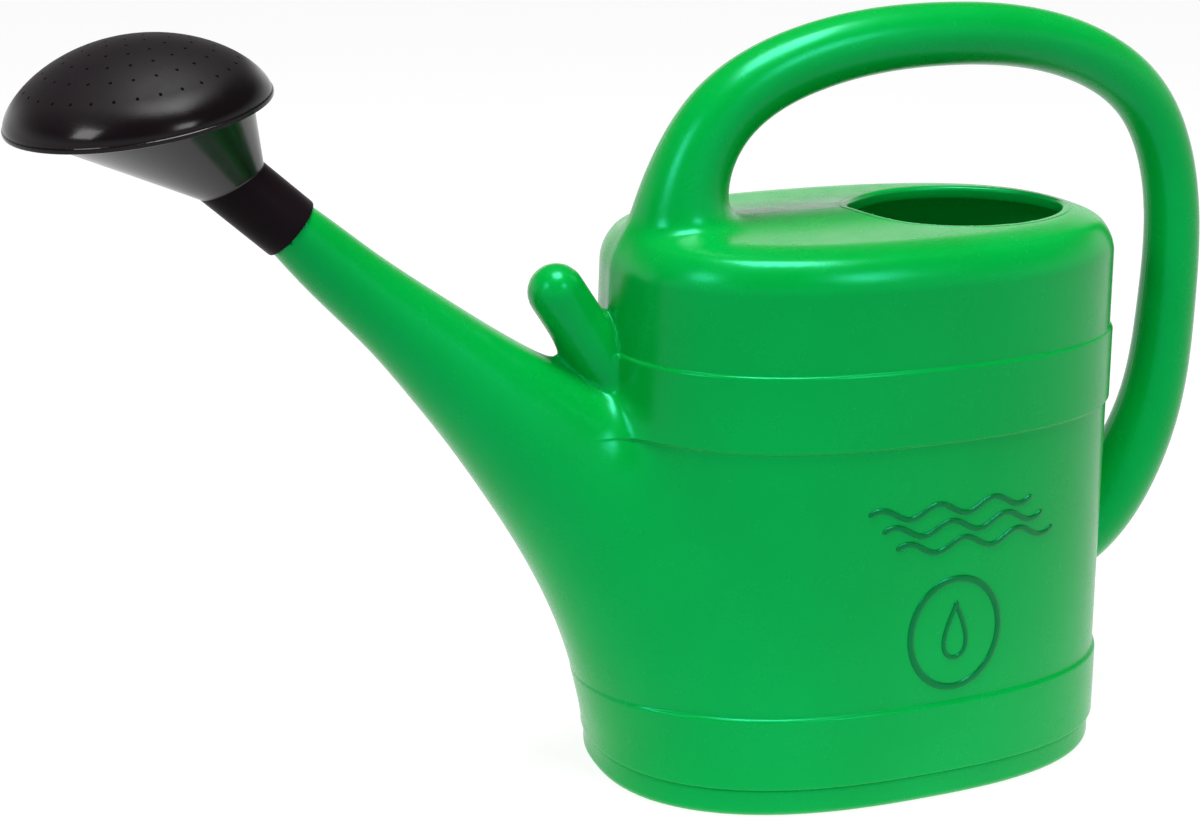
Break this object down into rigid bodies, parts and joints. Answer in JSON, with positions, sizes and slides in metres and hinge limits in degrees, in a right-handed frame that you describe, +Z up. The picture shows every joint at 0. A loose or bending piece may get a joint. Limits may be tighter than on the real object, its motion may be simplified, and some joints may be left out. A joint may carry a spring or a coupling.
{
  "type": "watering can",
  "caption": "Hollow plastic watering can with an arched tube handle, a flared spout, a storage peg and a domed rose that turns on the spout tip.",
  "frame": {"origin": "centre of the flat base, on the ground", "axes": "+X from the spout towards the rear of the handle, +Y to the can's left when the spout points forward, +Z up"},
  "size_m": [0.6587, 0.1998, 0.4145],
  "materials": {
    "can_green": "semi-gloss moulded",
    "rose_black": "gloss moulded"
  },
  "bodies": {
    "can": {"tank": "can_green", "deck": "can_green", "spout": "can_green", "spout_neck": "can_green", "spout_tip": "can_green", "rose_peg": "can_green", "handle_front": "can_green", "handle_rear": "can_green"},
    "rose": {"rose_body": "rose_black"},
    "face": {"rose_face": "rose_black"}
  },
  "joints": [
    {"name": "rose_turn", "type": "hinge", "parent": "can", "child": "rose", "pos_m": [-0.304, 0, 0.3176], "axis": [-0.7373, 0, 0.6756], "continuous": true},
    {"name": "rose_face_off", "type": "slide", "parent": "rose", "child": "face", "axis": [-0.1434, -0.0885, 0.9857], "range_m": [0, 0.05]}
  ]
}
